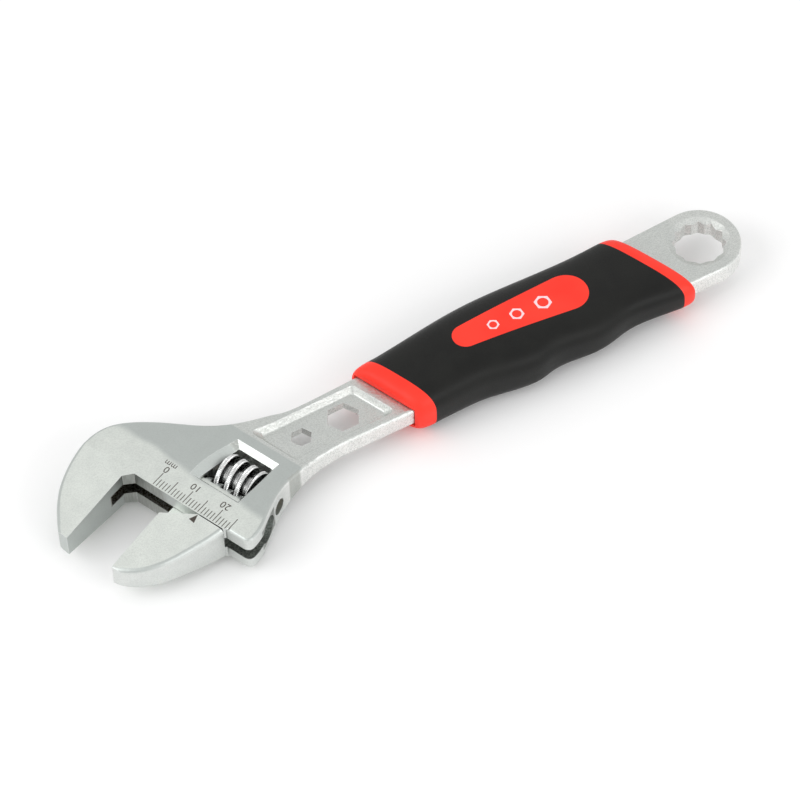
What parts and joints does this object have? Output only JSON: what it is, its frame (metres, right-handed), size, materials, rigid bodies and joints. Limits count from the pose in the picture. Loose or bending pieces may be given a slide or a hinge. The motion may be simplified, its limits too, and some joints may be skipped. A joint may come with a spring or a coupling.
{
  "type": "adjustable wrench",
  "caption": "Adjustable wrench with a sliding jaw, a worm that drives it, a soft two-colour grip and a ring spanner end.",
  "frame": {"origin": "centre of the box end on the mid-plane of the handle", "axes": "+X from the jaws to the box end, +Y on the fixed-jaw side, +Z out of the scale side"},
  "size_m": [0.2065, 0.0521, 0.016],
  "materials": {
    "satin_chrome": "satin chrome over ground and forged steel",
    "satin_chrome_jaw": "satin chrome over ground steel",
    "polished_chrome": "polished chrome, fine cross knurl",
    "brass": "dull brassy steel",
    "spring_steel": "plain wire",
    "red_plastic": "semi-gloss moulded plastic",
    "black_rubber": "satin soft-touch rubber"
  },
  "bodies": {
    "handle": {"body": "satin_chrome", "worm_pin": "brass", "worm_spring": "spring_steel", "grip_core": "red_plastic", "grip_cover": "black_rubber"},
    "jaw": {"moving_jaw": "satin_chrome_jaw"},
    "knurl": {"worm": "polished_chrome"}
  },
  "joints": [
    {"name": "jaw_slide", "type": "slide", "parent": "handle", "child": "jaw", "axis": [0.3827, -0.9239, 0], "range_m": [-0.0152, 0.0098]},
    {"name": "worm_spin", "type": "hinge", "parent": "handle", "child": "knurl", "pos_m": [-0.15473, 0.01715, 0], "axis": [0.3827, -0.9239, 0], "range_deg": [-1060, 1640]}
  ],
  "couplings": [
    {"joint": "worm_spin", "follows": "jaw_slide", "rad_per_m": -1875.6}
  ]
}
